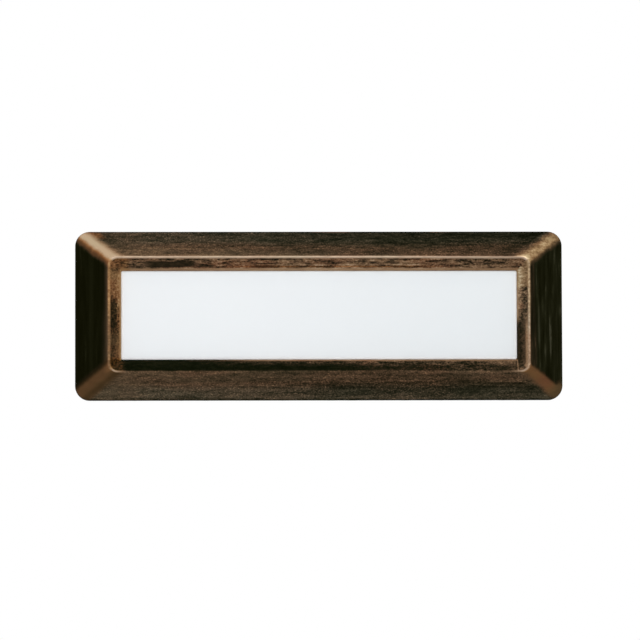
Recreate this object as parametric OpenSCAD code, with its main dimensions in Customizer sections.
// Recessed wall light the size of one brick, with a bevelled face frame around a frosted window.
// X runs along the light, Z is up and the light shines towards -Y. The wall's surface is y = 0.
// The face frame comes off towards -Y, two sprung clips hold it in the box that is set in the wall.

/* [Box in the wall] */
// Width of the box across its end walls
box_w = 205; // [196:1:230]
// Height of the box
box_h = 60; // [57:1:75]
// Depth of the box behind the wall's surface
box_depth = 70; // [66:1:95]
// Thickness of the box's walls
box_wall = 2.5; // [2:0.1:3.2]
// Radius of the box's four long corners
box_corner_r = 6; // [4:0.5:8]
// Width of the flange beyond each end of the box
flange_side = 10; // [9.5:0.5:14]
// Width of the flange above and below the box
flange_top = 5.75; // [5.5:0.25:9]
// Thickness of the flange
flange_t = 1.5; // [1.2:0.1:2]
// Radius of the flange's four screw holes
fixing_hole_r = 2.25; // [1.8:0.05:2.6]
// Distance between the screw holes' centres, up and down
fixing_pitch_z = 44; // [36:1:48]
// Distance from the end of the box to a screw hole's centre
fixing_offset = 5; // [4.6:0.1:5.4]
// Height of the keys that lock the box in the mortar
key_h = 1.5; // [1:0.1:2.2]
// Width of each mortar key
key_w = 3; // [2:0.5:5]

/* [Face frame] */
// Width of the rim that meets the wall
rim_w = 4; // [3.5:0.1:5]
// Thickness of the rim
rim_t = 2; // [1.5:0.1:2.2]
// Gap between the rim and the box's flange
flange_gap = 1; // [0.6:0.1:2]
// Radius of the face frame's outer corners
face_corner_r = 7; // [5.5:0.5:9]
// Radius of the ridge's corners
ridge_corner_r = 4.7; // [3:0.1:6]
// Width of the bevel at the left and right
side_bevel = 16; // [15:0.1:18]
// Width of the bevel at the top and bottom
top_bevel = 12.65; // [12:0.05:14]
// Width of the flat top of the ridge
ridge_flat = 1; // [0.6:0.1:1.4]
// Width of the lip between ridge and window at the left and right
side_lip = 5.25; // [4:0.05:6]
// Width of the lip between ridge and window at the top and bottom
top_lip = 5.7; // [4.5:0.05:6.5]
// How far the lip runs back from the ridge
lip_depth = 6; // [5:0.1:8]
// Height of the straight edge below the bevel
skirt_h = 3; // [2.2:0.1:4]
// Thickness of the frame's straight edge
face_wall = 2.5; // [2:0.1:3]
// Thickness of the bevel, measured towards the wall
slope_wall = 3.2; // [2.5:0.1:3.8]
// Radius of the window's corners
window_corner_r = 0.8; // [0.5:0.1:1.5]
// Thickness of the land that the lens is pressed against
land_t = 1; // [0.8:0.1:1.5]

/* [Lens and seals] */
// Thickness of the frosted glass
lens_t = 3.5; // [3:0.1:4.5]
// How far the glass reaches past the window on each side
lens_overlap = 4.5; // [3.8:0.1:4.8]
// Gap around the glass in its pocket
lens_gap = 0.5; // [0.3:0.1:0.8]
// Radius of the glass's corners
lens_corner_r = 2; // [1:0.5:3]
// Gap between the glass's raised middle and the window's edge
lens_reveal = 0.15; // [0.1:0.05:0.5]
// How far that raised middle lies behind the window's front edge
lens_recess = 0.4; // [0.2:0.1:1.5]
// Thickness of the pocket's wall
pocket_wall = 2; // [1.5:0.1:2.4]
// Thickness of the seal in front of the glass
lens_seal_t = 1; // [0.8:0.1:1.5]
// Thickness of the foam between rim and wall
rim_seal_t = 1.5; // [1.2:0.1:2]
// Thickness of the foam between retainer and flange
box_seal_t = 2; // [1.8:0.1:3]
// Width of that foam
box_seal_w = 3; // [2.5:0.1:3.2]

/* [Retainer and clips] */
// Thickness of the retainer's sheet steel
retainer_t = 1; // [0.8:0.1:1.2]
// How far the retainer's opening clears the window, up and down
retainer_reveal = 1.5; // [1:0.1:2.5]
// Number of retainer screws along the top, and again along the bottom
retainer_screw_count = 3; // [2:1:4]
// Distance between those screws
retainer_screw_pitch = 70; // [40:1:60]
// Space for a clip between its tab and the box's end wall
clip_space = 5; // [4.8:0.1:5.6]
// How far a tab reaches into the box
tab_len = 26; // [24:0.5:28]
// Height of a tab
tab_h = 20; // [18:0.5:24]
// Thickness of the clip's sheet steel
clip_t = 0.75; // [0.6:0.05:0.9]
// Radius of the clip's pin
pin_r = 0.9; // [0.7:0.05:1]
// Running gap between a pin and what turns on it
pin_gap = 0.05; // [0.03:0.01:0.08]
// Gap between a clip and the box's wall
clip_gap = 0.3; // [0.2:0.05:0.5]
// Radius of the clip spring's wire
spring_wire_r = 0.35; // [0.3:0.01:0.36]
// Turns in the clip spring
spring_turns = 4; // [3:1:4]
// Rise of the clip spring in one turn
spring_pitch = 1.2; // [1.18:0.01:1.3]

/* [Lamp tray] */
// Gap between the tray and the clips' tabs
tray_gap = 1.5; // [1:0.1:2.5]
// Gap between the tray and the top and bottom of the box
tray_gap_z = 1.5; // [1:0.1:2]
// How far the tray's edge lies behind the wall's surface
tray_setback = 0.5; // [0.3:0.1:2]
// Depth of the tray
tray_depth = 14.5; // [12:0.5:18]
// Thickness of the tray's sheet steel
tray_t = 1; // [0.8:0.1:1.2]
// Space between the lamp board and each end of the tray
board_end_gap = 12.5; // [12:0.5:18]
// Space between the lamp board and the tray's top and bottom
board_side_gap = 8; // [8:0.5:11]
// Thickness of the lamp board
board_t = 1.6; // [1:0.1:2]
// Lamps in each of the two rows
lamp_count = 12; // [6:1:12]
// Distance from the board's end to the nearest lamp's centre
lamp_margin = 8.5; // [8.5:0.5:20]
// Distance between the two rows
lamp_row_gap = 16; // [10:1:20]
// Distance between the tray screws, along the light
tray_screw_pitch_x = 120; // [90:1:140]
// Distance from a tray screw to the top or bottom wall of the box
tray_screw_inset = 5.5; // [5.2:0.1:5.8]
// Length of the lugs that carry the tray
lug_len = 12; // [10:1:16]

/* [Driver and terminal] */
// Length of the driver's case
driver_w = 90; // [78:1:102]
// Height of the driver's case
driver_h = 32; // [26:1:40]
// Depth of the driver's case
driver_d = 21; // [16:1:22]
// Height of the bosses on the box's back wall
boss_h = 4; // [3.5:0.1:5]
// Distance between the terminal's poles
pole_pitch = 7; // [6.8:0.1:7.4]
// Length of the terminal, up and down
terminal_len = 22; // [21:0.5:24]
// Depth of the terminal
terminal_d = 12; // [11.5:0.1:13]
// Radius of the terminal's conductor entries
entry_r = 2.2; // [1.8:0.1:2.4]
// Length of a lever from its pivot to its tip
lever_len = 15; // [13:0.5:15.5]
// Width of a lever
lever_w = 5; // [4.6:0.1:5.2]
// Thickness of a lever
lever_t = 2; // [1.6:0.1:2.2]
// Radius of the leads between driver and terminal
lead_r = 1; // [0.8:0.05:1.1]
// Radius of the leads to the lamp board
lamp_lead_r = 0.9; // [0.7:0.05:1]

/* [Cable entry] */
// Radius of the cable bore in the gland's seal
cable_r = 4.5; // [3.5:0.1:5]
// Radius of the gland's threaded shank and of the end plugs
entry_thread_r = 10; // [9.5:0.1:10.5]
// Gap between a thread and its hole
thread_gap = 0.1; // [0.05:0.01:0.2]
// Thickness of the gland's hexagon
gland_hex_t = 5; // [4:0.5:6]
// Length of the gland's dome nut
dome_len = 13; // [12:0.5:16]

/* [Hidden] */
$fn = 48;
// Overshoot of a cutting shape past the surface it cuts
over = 0.5;

// Depths of the stack, from the wall's surface out to the ridge
flange_y = -flange_t;
retainer_back = flange_y - box_seal_t;
lens_back = retainer_back - retainer_t;
lens_front = lens_back - lens_t;
land_back = lens_front - lens_seal_t;
window_y = land_back - land_t;
ridge_y = window_y - lip_depth;
rim_y = -rim_seal_t;
skirt_y = rim_y - skirt_h;

// Sizes across the light that follow from the box
box_in_w = box_w - 2 * box_wall;
box_in_h = box_h - 2 * box_wall;
box_in_r = box_corner_r - box_wall;
back_y = box_depth - box_wall;
boss_y = back_y - boss_h;
flange_w = box_w + 2 * flange_side;
flange_h = box_h + 2 * flange_top;
face_w = flange_w + 2 * (flange_gap + rim_w);
face_h = flange_h + 2 * (flange_gap + rim_w);
flange_r = max(face_corner_r - rim_w - flange_gap, 0.5);
fixing_x = box_w / 2 + fixing_offset;
ridge_w = face_w - 2 * side_bevel;
ridge_h = face_h - 2 * top_bevel;
window_w = ridge_w - 2 * (ridge_flat + side_lip);
window_h = ridge_h - 2 * (ridge_flat + top_lip);
lens_w = window_w + 2 * lens_overlap;
lens_h = window_h + 2 * lens_overlap;
pocket_w = lens_w + 2 * lens_gap;
pocket_h = lens_h + 2 * lens_gap;
pocket_r = lens_corner_r + lens_gap;

// The foam on the flange starts just outside the box's opening, and the retainer covers it
seal_reveal = 0.25;
seal_in_w = box_in_w + 2 * seal_reveal;
seal_in_h = box_in_h + 2 * seal_reveal;
retainer_w = seal_in_w + 2 * box_seal_w;
retainer_h = seal_in_h + 2 * box_seal_w;
retainer_r = box_in_r + seal_reveal + box_seal_w;
ear_r = 2.5;
frame_boss_r = 2.2;
retainer_screw_z = retainer_h / 2 + ear_r + 0.45;

// Screws: head radius, head height, shank radius and shank length
small_screw = [2.2, 1.4, 1.2, 2.4];
tray_screw = [2.6, 1.8, 1.4, 6];
earth_bolt = [3.4, 2.4, 1.9, 6];
screw_gap = 0.05;

// Clips: the right-hand one is drawn, and the left-hand one is its mirror image
tab_x = box_in_w / 2 - clip_space;
pin_x = tab_x + 2.4;
pin_y = tab_len - 2;
pin_half = tab_h / 2 + 0.2;
pin_head_r = 1.4;
pin_head_t = 0.5;
clip_ear_t = 1.2;
eye_out_r = pin_r + pin_gap + clip_t;
eye_gap = 0.3;
clip_half = tab_h / 2 - clip_ear_t - eye_gap;
eye_len = 3.6;
bump_x = box_in_w / 2 - clip_gap - clip_t / 2;
bump_y = 10;
bump_r = 8;
// The arm's arc over the bump runs from the first angle to the second, in degrees
bump_from = 5;
bump_to = -32;
spring_r = 1.75;
spring_steps = 8;
spring_leg = 8;

// Lamp tray, and the board that lies in it
tray_w = 2 * (tab_x - retainer_t - tray_gap);
tray_h = box_in_h - 2 * tray_gap_z;
tray_back = tray_setback + tray_depth;
tray_corner_r = 2;
tray_floor = tray_back - tray_t;
board_w = tray_w - 2 * board_end_gap;
board_h = tray_h - 2 * board_side_gap;
board_front = tray_floor - board_t;
lamp_pitch = (board_w - 2 * lamp_margin) / (lamp_count - 1);
tray_screw_z = box_in_h / 2 - tray_screw_inset;
lug_w = 9;
board_screw_x = board_w / 2 - 4;
board_screw_z = board_h / 2 - 4;
board_corner_r = 2;
lamp_size = [3.5, 0.8, 2.8];
connector_size = [6, 4, 6];
connector_x = board_w / 2 - 4.5;
grommet_end_gap = 5.5;
grommet_x = tray_w / 2 - tray_t - grommet_end_gap;
grommet_neck_r = 3.8;
grommet_flange_r = 4.6;
grommet_bore_r = 2.6;
grommet_flange_t = 1;
lamp_lead_z = 1.2;
lamp_lead_y = board_front - connector_size[1] / 2;

// Along the box, from the right: lamp leads, driver, terminal, gland. What is left is shared as gaps.
lead_space = 5;
driver_foot = 7;
driver_foot_t = 2;
terminal_w_margin = 1.5;
poles = 3;
terminal_w = poles * pole_pitch + 2 * terminal_w_margin;
terminal_foot = 6;
terminal_foot_t = 2;
hex_wall = 3.2;
hex_r = entry_thread_r + hex_wall;
driver_end = grommet_x - lead_space;
row_w = driver_end + box_in_w / 2;
piece_gap = (row_w - driver_w - driver_foot - terminal_foot - terminal_w - 2 * hex_r) / 3;

// Driver
driver_x = driver_end - driver_w / 2;
driver_front = boss_y - driver_d;
driver_corner_r = 2.5;
driver_cap = 9;
boss_bite = 3;
driver_boss_x = driver_w / 2 + driver_foot / 2;
driver_boss_r = 3.4;

// Terminal with three lever clamps
terminal_x = driver_end - driver_w - driver_foot - piece_gap - terminal_foot - terminal_w / 2;
terminal_front = boss_y - terminal_d;
pivot_depth = 0.6;
pivot_y = terminal_front + lever_t + pivot_depth;
pivot_from_end = 5.5;
pivot_z = -terminal_len / 2 + pivot_from_end;
barrel_r = 2.2;
trunnion_r = 1;
lever_gap = 0.3;
trunnion_half = pole_pitch / 2 - 0.1;
entry_floor = 1.5;
entry_y = boss_y - entry_r - entry_floor;
entry_depth = 9;
lead_y = entry_y;
lead_depth = 3;
terminal_foot_x = terminal_x + terminal_w / 2 + terminal_foot / 2;
terminal_boss_r = 2.8;
contact_t = 0.6;

// Cable entry: a gland in the back wall, and plugged holes in the end walls
gland_x = terminal_x - terminal_w / 2 - piece_gap - hex_r;
entry_boss_r = entry_thread_r + 3;
entry_boss_t = 3;
hub_t = 5;
hub_tab_gap = 5;
hub_y = tab_len + entry_boss_r + hub_tab_gap;
washer_t = 1;
locknut_t = 4;
gland_shank_r = entry_thread_r - 0.8;
gland_bore_r = gland_shank_r - 2.6;
gland_nose = 9;
dome_gap = 0.5;
dome_y = box_depth + washer_t + gland_hex_t + dome_gap;
dome_wall = 2.4;
seal_len = 9;
// Mortar keys stop this far from the box's front and back
key_end_gap = 10;

// Earth stud
earth_wall_gap = 6.5;
earth_x = terminal_x - terminal_w / 2 - piece_gap / 2;
earth_z = box_in_h / 2 - earth_wall_gap;
earth_boss_r = 4;
earth_boss_h = boss_h + 2;
lug_t = 0.8;
lug_ring_r = 3.8;
lug_barrel_r = 1.5;
lug_barrel_len = 6;
earth_y = back_y - earth_boss_h;
lug_barrel_y = earth_y - lug_barrel_r;
lug_barrel_top = earth_z - lug_ring_r - 0.4;

// Shapes that repeat

// Runs a profile drawn in X and Z from depth y0 back to depth y1
module slab(y0, y1) {
    translate([0, y1, 0])
        rotate([90, 0, 0])
            linear_extrude(y1 - y0)
                children();
}

// Rectangle with round corners, centred
module rounded(w, h, r) {
    square([w - 2 * r, h], center = true);
    square([w, h - 2 * r], center = true);
    for (sx = [-1, 1], sz = [-1, 1])
        translate([sx * (w / 2 - r), sz * (h / 2 - r)])
            circle(r);
}

// Flat ring between two rounded rectangles
module ring(out_w, out_h, out_r, in_w, in_h, in_r) {
    difference() {
        rounded(out_w, out_h, out_r);
        rounded(in_w, in_h, in_r);
    }
}

// Cylinder along +Y from depth y0 to depth y1
module rod_y(r, y0, y1) {
    translate([0, y0, 0])
        rotate([-90, 0, 0])
            cylinder(r = r, h = y1 - y0);
}

// Cylinder along X, centred
module rod_x(r, length) {
    rotate([0, 90, 0])
        cylinder(r = r, h = length, center = true);
}

// Screw along +Y whose head sits on the plane y = 0, with a crossed recess
module screw(s) {
    recess_w = s[0] * 0.3;
    difference() {
        union() {
            rod_y(s[0], -s[1], 0);
            rod_y(s[2], -s[1] / 2, s[3]);
        }
        for (a = [0, 90])
            rotate([0, a, 0])
                translate([-s[0] * 0.65, -s[1] - over, -recess_w / 2])
                    cube([s[0] * 1.3, s[1] * 0.55 + over, recess_w]);
    }
}

// Points of an arc
function arc(centre, r, from, to, steps) = [
    for (i = [0:steps])
        let (a = from + (to - from) * i / steps)
            centre + r * [cos(a), sin(a)]
];

// Unit vector
function unit(v) = v / norm(v);

// Outline of a strip of thickness t that follows the points of a line in the plane
function strip(p, t) = let (
    last = len(p) - 1,
    side = [
        for (i = [0:last])
            let (d = unit(p[min(i + 1, last)] - p[max(i - 1, 0)]))
                t / 2 * [-d[1], d[0]]
    ]
) concat(
    [for (i = [0:last]) p[i] + side[i]],
    [for (i = [last:-1:0]) p[i] - side[i]]
);

// Smooth curve through the points p, with n steps between neighbours
function smooth(p, n) = concat([
    for (i = [0:len(p) - 2], j = [0:n - 1])
        let (
            a = i > 0 ? p[i - 1] : 2 * p[0] - p[1],
            d = i + 2 < len(p) ? p[i + 2] : 2 * p[i + 1] - p[i],
            t = j / n
        )
            (2 * p[i] + (p[i + 1] - a) * t
                + (2 * a - 5 * p[i] + 4 * p[i + 1] - d) * t * t
                + (3 * p[i] - a - 3 * p[i + 1] + d) * t * t * t) / 2
], [p[len(p) - 1]]);

// Round tube along a path that never runs along the direction side
module tube(path, r, sides, side) {
    last = len(path) - 1;
    points = [
        for (i = [0:last])
            let (
                along = unit(path[min(i + 1, last)] - path[max(i - 1, 0)]),
                u = unit(cross(side, along)),
                v = cross(along, u)
            )
                for (k = [0:sides - 1])
                    path[i] + r * (cos(360 * k / sides) * u + sin(360 * k / sides) * v)
    ];
    walls = [
        for (i = [0:last - 1], k = [0:sides - 1])
            let (
                a = i * sides + k,
                b = i * sides + (k + 1) % sides
            )
                each [[a, b + sides, b], [a, a + sides, b + sides]]
    ];
    start = [for (k = [1:sides - 2]) [0, k, k + 1]];
    end = [for (k = [1:sides - 2]) [last * sides, last * sides + k + 1, last * sides + k]];
    polyhedron(points, concat(walls, start, end), convexity = 6);
}

// Face frame

// Solid outer form: a straight skirt, then four bevels that rise to the ridge
module frame_outside() {
    slab(skirt_y, rim_y)
        rounded(face_w, face_h, face_corner_r);
    frame_slope();
}

// The bevels as one block with a flat top, from the skirt to the ridge
module frame_slope() {
    sliver = 0.01;
    hull($fn = 32) {
        slab(skirt_y, skirt_y + sliver)
            rounded(face_w, face_h, face_corner_r);
        slab(ridge_y, ridge_y + sliver)
            rounded(ridge_w, ridge_h, ridge_corner_r);
    }
}

// The sloping opening from the ridge back to the window
module lip_cut() {
    sliver = 0.01;
    rise = lip_depth / side_lip * over;
    hull($fn = 32) {
        slab(window_y, window_y + sliver)
            rounded(window_w, window_h, window_corner_r);
        slab(ridge_y - rise, ridge_y - rise + sliver)
            rounded(window_w + 2 * (side_lip + over), window_h + 2 * (top_lip + over),
                ridge_corner_r - ridge_flat + over);
    }
}

// The hollow behind the bevels, without the lens pocket and the screw bosses
module frame_hollow() {
    difference() {
        union() {
            intersection() {
                translate([0, slope_wall, 0])
                    frame_slope();
                slab(ridge_y, rim_y - rim_t)
                    rounded(face_w - 2 * face_wall, face_h - 2 * face_wall,
                        face_corner_r - face_wall);
            }
            slab(rim_y - rim_t - over, rim_y + over)
                rounded(face_w - 2 * rim_w, face_h - 2 * rim_w, face_corner_r - rim_w);
        }
        slab(ridge_y, lens_back)
            rounded(pocket_w + 2 * pocket_wall, pocket_h + 2 * pocket_wall,
                pocket_r + pocket_wall);
        at_retainer_screws()
            rod_y(frame_boss_r, ridge_y, lens_back);
    }
}

// Places its children at the retainer's screws, at depth 0
module at_retainer_screws() {
    for (i = [0:retainer_screw_count - 1], sz = [-1, 1])
        translate([
            (i - (retainer_screw_count - 1) / 2) * retainer_screw_pitch,
            0,
            sz * retainer_screw_z
        ])
            children();
}

module face_frame() {
    color("#4a3a28")
        difference() {
            frame_outside();
            frame_hollow();
            lip_cut();
            slab(window_y - over, land_back + over)
                rounded(window_w, window_h, window_corner_r);
            slab(land_back, rim_y + over)
                rounded(pocket_w, pocket_h, pocket_r);
            at_retainer_screws()
                rod_y(small_screw[2] + screw_gap, lens_back - small_screw[3], lens_back + over);
        }
}

module rim_seal() {
    color("#2b2b2b")
        slab(rim_y, 0)
            ring(face_w, face_h, face_corner_r,
                face_w - 2 * rim_w, face_h - 2 * rim_w, face_corner_r - rim_w);
}

// Lens and its retainer

// A plate whose raised middle fills the window
module lens() {
    color("#e8edf0")
        union() {
            slab(lens_front, lens_back)
                rounded(lens_w, lens_h, lens_corner_r);
            slab(window_y + lens_recess, lens_front + over)
                rounded(window_w - 2 * lens_reveal, window_h - 2 * lens_reveal,
                    window_corner_r - lens_reveal);
        }
}

module lens_seal() {
    reveal = 0.8;
    color("#d8d8d4")
        slab(land_back, lens_front)
            ring(lens_w, lens_h, lens_corner_r,
                window_w + 2 * reveal, window_h + 2 * reveal, window_corner_r + reveal);
}

// One folded tab with the two ears that hold a clip's pin, at the right-hand end
module clip_tab() {
    translate([tab_x - retainer_t, retainer_back - retainer_t / 2, -tab_h / 2])
        cube([retainer_t, tab_len - retainer_back + retainer_t / 2, tab_h]);
    for (side = [-1, 1])
        translate([0, 0, side * (tab_h / 2 - clip_ear_t / 2)])
            linear_extrude(clip_ear_t, center = true)
                difference() {
                    union() {
                        translate([tab_x - retainer_t / 2, pin_y - eye_out_r])
                            square([pin_x - tab_x + retainer_t / 2, 2 * eye_out_r]);
                        translate([pin_x, pin_y])
                            circle(eye_out_r);
                    }
                    translate([pin_x, pin_y])
                        circle(pin_r + pin_gap);
                }
}

module retainer() {
    opening_w = 2 * (tab_x - retainer_t);
    opening_h = window_h + 2 * retainer_reveal;
    color("silver") {
        difference() {
            slab(lens_back, retainer_back)
                difference() {
                    union() {
                        rounded(retainer_w, retainer_h, retainer_r);
                        for (i = [0:retainer_screw_count - 1], sz = [-1, 1])
                            translate([
                                (i - (retainer_screw_count - 1) / 2) * retainer_screw_pitch,
                                sz * retainer_screw_z
                            ]) {
                                circle(ear_r);
                                translate([-ear_r, sz > 0 ? -ear_r * 2 : 0])
                                    square([2 * ear_r, 2 * ear_r]);
                            }
                    }
                    square([opening_w, opening_h], center = true);
                }
            at_retainer_screws()
                rod_y(small_screw[2] + screw_gap, lens_back - over, retainer_back + over);
        }
        clip_tab();
        mirror([1, 0, 0])
            clip_tab();
    }
}

module retainer_screws() {
    color("gainsboro")
        at_retainer_screws()
            translate([0, retainer_back, 0])
                mirror([0, 1, 0])
                    screw([small_screw[0], small_screw[1], small_screw[2],
                        small_screw[3] - over + retainer_t]);
}

// Clips

module clip_pin() {
    color("silver")
        translate([pin_x, pin_y, 0]) {
            cylinder(r = pin_r, h = 2 * pin_half, center = true);
            for (side = [-1, 1])
                translate([0, 0, side * (pin_half + pin_head_t / 2)])
                    cylinder(r = pin_head_r, h = pin_head_t, center = true);
        }
}

// Centre line of the sheet in a clip's arm: off the eye, out to the bump on the wall, then in
function clip_line() = concat(
    [[pin_x + pin_r + pin_gap + clip_t / 2, pin_y]],
    arc([bump_x - bump_r, bump_y], bump_r, bump_from, bump_to, 6)
);

module clip_arm() {
    plate_from = pin_y - eye_out_r - 0.6;
    color("lightsteelblue")
        difference() {
            union() {
                linear_extrude(2 * clip_half, center = true)
                    polygon(strip(clip_line(), clip_t));
                for (side = [-1, 1])
                    translate([pin_x, pin_y, side * (clip_half - eye_len / 2)])
                        cylinder(r = eye_out_r, h = eye_len, center = true);
            }
            // The spring sits between the two eyes
            translate([pin_x - eye_out_r - over, plate_from, -clip_half + eye_len])
                cube([2 * (eye_out_r + over), pin_y + eye_out_r + over - plate_from,
                    2 * (clip_half - eye_len)]);
            translate([pin_x, pin_y, 0])
                cylinder(r = pin_r + pin_gap, h = 2 * clip_half + 2 * over, center = true);
        }
}

// Inner side of the clip's sheet at depth y, between the pin and the bump
function clip_inside(y) = let (p = clip_line())
    lookup(y, [[p[1][1], p[1][0]], [p[0][1], p[0][0]]]) - clip_t / 2;

// Path of the clip spring: a leg on the tab, the turns round the pin, a leg on the clip's arm
function spring_path() = let (
    steps = (spring_turns + 0.5) * spring_steps,
    half = (spring_turns + 0.5) * spring_pitch / 2,
    rest = spring_wire_r + 0.03,
    leg_y = pin_y - spring_leg
) concat(
    [
        [tab_x + rest, leg_y, -half],
        [tab_x + rest, leg_y + spring_leg * 0.35, -half],
        [tab_x + rest + 0.1, leg_y + spring_leg * 0.75, -half]
    ],
    [
        for (i = [0:steps])
            let (a = 180 - 360 * i / spring_steps)
                [
                    pin_x + spring_r * cos(a),
                    pin_y + spring_r * sin(a),
                    -half + spring_pitch * i / spring_steps
                ]
    ],
    [
        [clip_inside(pin_y - 1.2) - rest + 0.15, pin_y - 1.2, half],
        [clip_inside(pin_y - 2.6) - rest, pin_y - 2.6, half],
        [clip_inside(pin_y - 5) - rest, pin_y - 5, half],
        [clip_inside(leg_y) - rest, leg_y, half]
    ]
);

module clip_spring() {
    color("dimgray")
        tube(spring_path(), spring_wire_r, 6, [0, 0, 1]);
}

// Box in the wall

// Places its children at the flange's screw holes
module at_fixings() {
    for (sx = [-1, 1], sz = [-1, 1])
        translate([sx * fixing_x, 0, sz * fixing_pitch_z / 2])
            children();
}

// Places its children at the tray's screws
module at_tray_screws() {
    for (sx = [-1, 1], sz = [-1, 1])
        translate([sx * tray_screw_pitch_x / 2, 0, sz * tray_screw_z])
            children();
}

// Lugs on the top and bottom walls that carry the tray
module tray_lugs() {
    lug_top = box_in_h / 2 + box_wall / 2;
    lug_bottom = tray_screw_z - lug_w / 2 + 1;
    for (sx = [-1, 1], sz = [-1, 1])
        translate([
            sx * tray_screw_pitch_x / 2 - lug_w / 2,
            tray_back,
            sz > 0 ? lug_bottom : -lug_top
        ])
            cube([lug_w, lug_len, lug_top - lug_bottom]);
}

// Keys on the outside that lock the box in the mortar
module mortar_keys() {
    key_from = key_end_gap;
    key_to = box_depth - key_end_gap;
    for (sx = [-1, 1], sz = [-1, 1])
        translate([
            sx * box_w / 4 - key_w / 2,
            key_from,
            sz > 0 ? box_h / 2 - over : -box_h / 2 - key_h
        ])
            cube([key_w, key_to - key_from, key_h + over]);
}

module back_box() {
    color("#b9bcbe")
        difference() {
            union() {
                difference() {
                    union() {
                        slab(flange_y, 0)
                            rounded(flange_w, flange_h, flange_r);
                        slab(flange_y, box_depth)
                            rounded(box_w, box_h, box_corner_r);
                    }
                    slab(flange_y - over, back_y)
                        rounded(box_in_w, box_in_h, box_in_r);
                }
                mortar_keys();
                tray_lugs();
                for (side = [-1, 1])
                    translate([side * (box_in_w / 2 - hub_t / 2 + over / 2), hub_y, 0])
                        rod_x(entry_boss_r, hub_t + over);
                translate([gland_x, 0, 0])
                    rod_y(entry_boss_r, back_y - entry_boss_t, back_y + over);
                for (side = [-1, 1])
                    translate([driver_x + side * driver_boss_x, 0, 0])
                        rod_y(driver_boss_r, boss_y, back_y + over);
                translate([terminal_foot_x, 0, 0])
                    rod_y(terminal_boss_r, boss_y, back_y + over);
                translate([terminal_x - terminal_w / 2 + 1, boss_y, -terminal_len / 2 + 2])
                    cube([terminal_w - 2, boss_h + over, terminal_len - 4]);
                translate([earth_x, 0, earth_z])
                    rod_y(earth_boss_r, earth_y, back_y + over);
            }
            at_fixings()
                rod_y(fixing_hole_r, flange_y - over, over);
            at_tray_screws()
                rod_y(tray_screw[2] + screw_gap, tray_back - over,
                    tray_back - tray_t + tray_screw[3] + screw_gap);
            for (side = [-1, 1]) {
                translate([side * (box_w / 2 - (hub_t + box_wall) / 2), hub_y, 0])
                    rod_x(entry_thread_r + thread_gap, hub_t + box_wall + 2 * over);
                translate([driver_x + side * driver_boss_x, 0, 0])
                    rod_y(small_screw[2] + screw_gap, boss_y - over, boss_y + boss_h);
            }
            translate([terminal_foot_x, 0, 0])
                rod_y(small_screw[2] + screw_gap, boss_y - over, boss_y + boss_h);
            translate([gland_x, 0, 0])
                rod_y(entry_thread_r + thread_gap, back_y - entry_boss_t - over, box_depth + over);
            translate([earth_x, 0, earth_z])
                rod_y(earth_bolt[2] + screw_gap, earth_y - over, earth_y + earth_bolt[3]);
        }
}

module box_seal() {
    color("#333333")
        slab(retainer_back, flange_y)
            ring(retainer_w, retainer_h, retainer_r,
                seal_in_w, seal_in_h, box_in_r + seal_reveal);
}

// Plug in the right-hand end wall, with a slot for a coin or driver
module end_plug() {
    plug_len = hub_t + box_wall;
    slot_w = 2.4;
    slot_d = 2;
    color("#5c6064")
        difference() {
            translate([box_w / 2 - plug_len / 2, hub_y, 0])
                rod_x(entry_thread_r, plug_len);
            translate([box_w / 2 - slot_d, hub_y - slot_w / 2, -entry_thread_r * 0.75])
                cube([slot_d + over, slot_w, entry_thread_r * 1.5]);
        }
}

// Cable gland

// Hexagonal prism along Y
module hex_y(r, y0, y1) {
    translate([0, y0, 0])
        rotate([-90, 0, 0])
            cylinder(r = r, h = y1 - y0, $fn = 6);
}

module gland_body() {
    inner_end = back_y - entry_boss_t - locknut_t - 1.5;
    color("#3c3f42")
        translate([gland_x, 0, 0])
            difference() {
                union() {
                    rod_y(entry_thread_r, inner_end, box_depth + washer_t + over);
                    hex_y(hex_r, box_depth + washer_t, box_depth + washer_t + gland_hex_t);
                    rod_y(gland_shank_r, box_depth + washer_t + gland_hex_t - over,
                        box_depth + washer_t + gland_hex_t + gland_nose);
                }
                rod_y(gland_bore_r, inner_end - over,
                    box_depth + washer_t + gland_hex_t + gland_nose + over);
            }
}

module gland_washer() {
    color("#1f1f1f")
        translate([gland_x, 0, 0])
            difference() {
                rod_y(hex_r - 1.2, box_depth, box_depth + washer_t);
                rod_y(entry_thread_r + thread_gap, box_depth - over, box_depth + washer_t + over);
            }
}

module gland_locknut() {
    nut_back = back_y - entry_boss_t;
    color("#4a4d50")
        translate([gland_x, 0, 0])
            difference() {
                hex_y(hex_r, nut_back - locknut_t, nut_back);
                rod_y(entry_thread_r + thread_gap, nut_back - locknut_t - over, nut_back + over);
            }
}

module gland_seal() {
    seal_from = dome_y + dome_len - dome_wall - seal_len;
    color("#222222")
        translate([gland_x, 0, 0])
            difference() {
                rod_y(gland_bore_r - thread_gap, seal_from, seal_from + seal_len);
                rod_y(cable_r, seal_from - over, seal_from + seal_len + over);
            }
}

// Nut that squeezes the seal onto the cable: a hexagon, then a turned nose
module gland_dome_nut() {
    hex_len = dome_len * 0.55;
    nose_r = hex_r * 0.84;
    color("#3c3f42")
        translate([gland_x, 0, 0])
            difference() {
                union() {
                    hex_y(hex_r, dome_y, dome_y + hex_len);
                    rod_y(nose_r, dome_y + hex_len - over, dome_y + dome_len);
                }
                rod_y(gland_shank_r + thread_gap, dome_y - over, dome_y + dome_len - dome_wall);
                rod_y(cable_r + 1, dome_y, dome_y + dome_len + over);
            }
}

// Lamp tray

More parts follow.
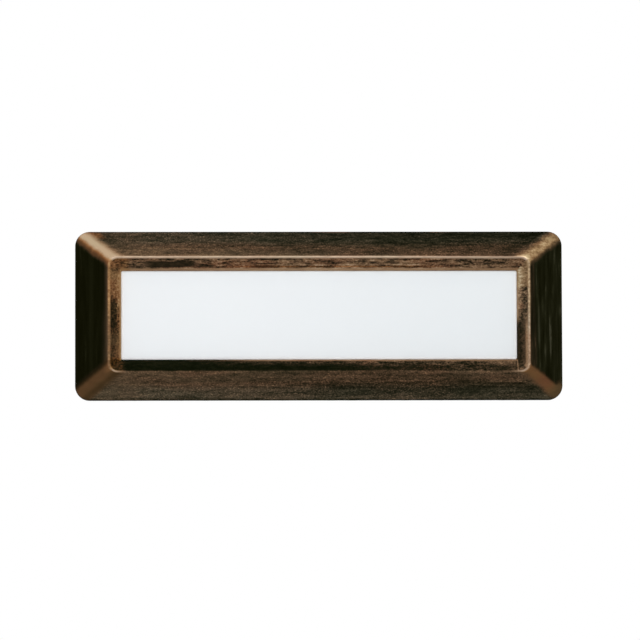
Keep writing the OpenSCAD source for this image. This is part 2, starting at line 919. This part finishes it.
module lamp_tray() {
    color("white")
        difference() {
            slab(tray_setback, tray_back)
                rounded(tray_w, tray_h, tray_corner_r);
            slab(tray_setback - over, tray_floor)
                rounded(tray_w - 2 * tray_t, tray_h - 2 * tray_t, tray_corner_r - tray_t * 0.5);
            at_tray_screws()
                rod_y(tray_screw[2] + screw_gap, tray_floor - over, tray_back + over);
            at_board_screws()
                rod_y(small_screw[2] + screw_gap, tray_floor - over, tray_back + over);
            translate([grommet_x, 0, 0])
                rod_y(grommet_neck_r + screw_gap, tray_floor - over, tray_back + over);
        }
}

module tray_screws() {
    color("gainsboro")
        at_tray_screws()
            translate([0, tray_floor, 0])
                screw(tray_screw);
}

// Places its children at the lamp board's screws
module at_board_screws() {
    for (sx = [-1, 1], sz = [-1, 1])
        translate([sx * board_screw_x, 0, sz * board_screw_z])
            children();
}

module lamp_board() {
    color("whitesmoke")
        difference() {
            slab(board_front, tray_floor)
                rounded(board_w, board_h, board_corner_r);
            at_board_screws()
                rod_y(small_screw[2] + screw_gap, board_front - over, tray_floor + over);
        }
}

module board_screws() {
    color("gainsboro")
        at_board_screws()
            translate([0, board_front, 0])
                screw([small_screw[0], small_screw[1], small_screw[2], board_t + tray_t + 0.8]);
}

module lamps() {
    color("#f2e27a")
        for (i = [0:lamp_count - 1], side = [-1, 1])
            translate([
                (i - (lamp_count - 1) / 2) * lamp_pitch - lamp_size[0] / 2,
                board_front - lamp_size[1],
                side * lamp_row_gap / 2 - lamp_size[2] / 2
            ])
                cube(lamp_size);
}

module lamp_connector() {
    color("ivory")
        translate([connector_x, board_front - connector_size[1] / 2, 0])
            cube(connector_size, center = true);
}

module grommet() {
    color("#1f1f1f")
        translate([grommet_x, 0, 0])
            difference() {
                union() {
                    rod_y(grommet_flange_r, tray_floor - grommet_flange_t, tray_floor);
                    rod_y(grommet_neck_r, tray_floor - over, tray_back + over);
                    rod_y(grommet_flange_r, tray_back, tray_back + grommet_flange_t);
                }
                rod_y(grommet_bore_r, tray_floor - grommet_flange_t - over,
                    tray_back + grommet_flange_t + over);
            }
}

// Driver

module driver() {
    groove_w = 1.2;
    groove_d = 0.8;
    color("#e6e6e2")
        translate([driver_x, 0, 0])
            difference() {
                union() {
                    slab(driver_front, boss_y)
                        rounded(driver_w, driver_h, driver_corner_r);
                    slab(boss_y - driver_foot_t, boss_y)
                        rounded(driver_w + 2 * driver_foot, driver_h * 0.45, driver_corner_r);
                }
                for (side = [-1, 1]) {
                    translate([side * driver_boss_x, 0, 0])
                        rod_y(small_screw[2] + screw_gap, boss_y - driver_foot_t - over, boss_y + over);
                    // Line where each end cap meets the case
                    translate([
                        side * (driver_w / 2 - driver_cap) - groove_w / 2,
                        driver_front - over,
                        -driver_h
                    ])
                        cube([groove_w, groove_d + over, 2 * driver_h]);
                }
            }
}

module driver_screws() {
    color("gainsboro")
        for (side = [-1, 1])
            translate([driver_x + side * driver_boss_x, boss_y - driver_foot_t, 0])
                screw([small_screw[0], small_screw[1], small_screw[2], driver_foot_t + boss_bite]);
}

// Terminal

// Position of a pole along X: 0 is earth, 1 neutral and 2 live
function pole_x(i) = terminal_x + (i - (poles - 1) / 2) * pole_pitch;

module terminal_body() {
    pocket_from = pivot_z - barrel_r - 2 * lever_gap - 0.2;
    pocket_back = pivot_y + barrel_r + lever_gap;
    color("#dfe3e6")
        difference() {
            union() {
                translate([terminal_x - terminal_w / 2, terminal_front, -terminal_len / 2])
                    cube([terminal_w, terminal_d, terminal_len]);
                translate([terminal_x + terminal_w / 2 - over, boss_y - terminal_foot_t,
                    -terminal_foot / 2])
                    cube([terminal_foot + over, terminal_foot_t, terminal_foot]);
            }
            for (i = [0:poles - 1])
                translate([pole_x(i), 0, 0]) {
                    translate([-lever_w / 2 - lever_gap, terminal_front - over, pocket_from])
                        cube([lever_w + 2 * lever_gap, pocket_back - terminal_front + over,
                            terminal_len]);
                    translate([0, entry_y, terminal_len / 2 - entry_depth])
                        cylinder(r = entry_r, h = entry_depth + over);
                    translate([0, entry_y, -terminal_len / 2 - over])
                        cylinder(r = lead_r + screw_gap, h = lead_depth + over);
                }
            translate([terminal_x, pivot_y, pivot_z])
                rod_x(trunnion_r + pin_gap, poles * pole_pitch);
            translate([terminal_foot_x, 0, 0])
                rod_y(small_screw[2] + screw_gap, boss_y - terminal_foot_t - over, boss_y + over);
        }
}

module terminal_screw() {
    color("gainsboro")
        translate([terminal_foot_x, boss_y - terminal_foot_t, 0])
            screw([small_screw[0], small_screw[1], small_screw[2], terminal_foot_t + boss_bite]);
}

// Bent spring contacts under the levers
module terminal_contacts() {
    contact_w = lever_w - 0.6;
    contact_back = pivot_y + barrel_r + lever_gap;
    contact_from = pivot_z + barrel_r + 1;
    contact_to = pivot_z + lever_len - 3;
    color("goldenrod")
        for (i = [0:poles - 1])
            translate([pole_x(i) - contact_w / 2, 0, 0])
                rotate([90, 0, 90])
                    linear_extrude(contact_w)
                        polygon(strip([
                            [contact_back - contact_t / 2, contact_from],
                            [contact_back - contact_t / 2, contact_to - 3],
                            [terminal_front + lever_t + 1.2, contact_to],
                        ], contact_t));
}

// Lever of pole i, closed: it lies flush along the terminal's front
module lever(i) {
    grip = 2;
    grip_rise = 0.8;
    color("orange")
        translate([pole_x(i), 0, 0])
            difference() {
                union() {
                    translate([-lever_w / 2, terminal_front, pivot_z])
                        cube([lever_w, lever_t, lever_len]);
                    translate([-lever_w / 2, terminal_front - grip_rise, pivot_z + lever_len - grip])
                        cube([lever_w, lever_t, grip]);
                    translate([0, pivot_y, pivot_z]) {
                        rod_x(barrel_r, lever_w);
                        rod_x(trunnion_r, 2 * trunnion_half);
                    }
                }
                // Shallow thumb groove
                translate([0, terminal_front - 0.2, pivot_z + lever_len * 0.6])
                    rod_x(0.8, lever_w + 2 * over);
            }
}

// Earth stud

module earth_screw() {
    color("#c9a13b")
        translate([earth_x, earth_y - lug_t, earth_z])
            screw(earth_bolt);
}

module earth_lug() {
    color("goldenrod") {
        translate([earth_x, 0, earth_z])
            difference() {
                union() {
                    rod_y(lug_ring_r, earth_y - lug_t, earth_y);
                    translate([-lug_barrel_r, earth_y - lug_t, lug_barrel_top - over - earth_z])
                        cube([2 * lug_barrel_r, lug_t, lug_ring_r]);
                }
                rod_y(earth_bolt[2] + screw_gap, earth_y - lug_t - over, earth_y + over);
            }
        translate([earth_x, lug_barrel_y, lug_barrel_top - lug_barrel_len])
            cylinder(r = lug_barrel_r, h = lug_barrel_len);
    }
}

// Leads

// Where a lead meets a face it stops this far off it
lead_gap = 0.08;

// Earth lead: down beside the terminal, then up into its lower end
function earth_path() = let (
    top = lug_barrel_top - lug_barrel_len,
    low = -terminal_len / 2,
    r = lead_r
) [
    [earth_x, lug_barrel_y, top],
    [earth_x, lug_barrel_y, top - 4 * r],
    [earth_x, (lug_barrel_y + lead_y) / 2, (top + low) / 2],
    [earth_x, lead_y, low + 2 * r],
    [earth_x + r, lead_y, low - 4 * r],
    [(earth_x + pole_x(0)) / 2, lead_y, low - 6.5 * r],
    [pole_x(0) - 0.8 * r, lead_y, low - 4 * r],
    [pole_x(0), lead_y, low - r],
    [pole_x(0), lead_y, low + lead_depth - lead_gap],
];

// Supply lead of pole i: down out of the terminal, along, and up into the driver's end
function supply_path(i) = let (
    low = -terminal_len / 2,
    r = lead_r,
    outer = poles - 1 - i,
    drop = (4.5 + 4 * outer) * r,
    end_x = driver_x - driver_w / 2,
    end_z = (-4 - 6.5 * outer) * r,
    shift = 2.6 * outer * r
) [
    [pole_x(i), lead_y, low + lead_depth - lead_gap],
    [pole_x(i), lead_y, low - r],
    [pole_x(i) + r, lead_y, low - drop * 0.7],
    [pole_x(i) + 4 * r, lead_y, low - drop],
    [end_x - 12 * r + shift, lead_y - 0.5 * r, low - drop],
    [end_x - 8.5 * r + shift, lead_y - r, low - drop + 1.5 * r],
    [end_x - 6.5 * r + shift, lead_y - 1.5 * r, (low - drop + end_z) / 2],
    [end_x - 4.4 * r + shift * 0.8, lead_y - 2 * r, end_z - 1.1 * r],
    [end_x - r, lead_y - 2 * r, end_z],
    [end_x - lead_gap, lead_y - 2 * r, end_z],
];

// Lead from the driver's other end, through the grommet, to the lamp board's connector
function lamp_path(z) = let (
    start_x = driver_x + driver_w / 2 + lead_gap,
    start_y = driver_front + driver_d * 0.4,
    end_x = connector_x + connector_size[0] / 2 + lead_gap,
    r = lamp_lead_r
) [
    [start_x, start_y, z],
    [start_x + 1.8 * r, start_y, z],
    [grommet_x - 0.9 * r, start_y - 2.4 * r, z],
    [grommet_x, start_y - 6.6 * r, z],
    [grommet_x, tray_back + 11 * r, z],
    [grommet_x, tray_floor - 0.6 * r, z],
    [grommet_x - 1.1 * r, lamp_lead_y + 0.7 * r, z],
    [grommet_x - 3.6 * r, lamp_lead_y, z],
    [end_x, lamp_lead_y, z],
];

module lead(path, tint, r, side) {
    color(tint)
        tube(smooth(path, 4), r, 8, side);
}

// Least gap between two turns of the clip spring, measured between points half a turn or more apart
spring_points = spring_path();
spring_gap = min([
    for (i = [0:len(spring_points) - 1], j = [i + spring_steps / 2:len(spring_points) - 1])
        norm(spring_points[i] - spring_points[j])
]) - 2 * spring_wire_r;
echo(least_spring_gap_mm = spring_gap);

face_frame();
lens();
lens_seal();
retainer();
retainer_screws();
rim_seal();
mirror([1, 0, 0]) clip_pin();  // clip_pin_left
clip_pin();  // clip_pin_right
mirror([1, 0, 0]) clip_arm();  // clip_arm_left
clip_arm();  // clip_arm_right
mirror([1, 0, 0]) clip_spring();  // clip_spring_left
clip_spring();  // clip_spring_right
back_box();
box_seal();
mirror([1, 0, 0]) end_plug();  // end_plug_left
end_plug();  // end_plug_right
gland_body();
gland_washer();
gland_locknut();
gland_seal();
gland_dome_nut();
lamp_tray();
tray_screws();
lamp_board();
board_screws();
lamps();
lamp_connector();
grommet();
driver();
driver_screws();
terminal_body();
terminal_screw();
terminal_contacts();
lever(0);  // lever_earth
lever(1);  // lever_neutral
lever(2);  // lever_live
earth_screw();
earth_lug();
lead(earth_path(), "#6d9c2f", lead_r, [0, 1, 0]);  // earth_lead
lead(supply_path(1), "#2f62a8", lead_r, [0, 1, 0]);  // neutral_lead
lead(supply_path(2), "#6b4327", lead_r, [0, 1, 0]);  // live_lead
lead(lamp_path(lamp_lead_z), "#b3261e", lamp_lead_r, [0, 0, 1]);  // lamp_lead_positive
lead(lamp_path(-lamp_lead_z), "#1d1d1f", lamp_lead_r, [0, 0, 1]);  // lamp_lead_negative
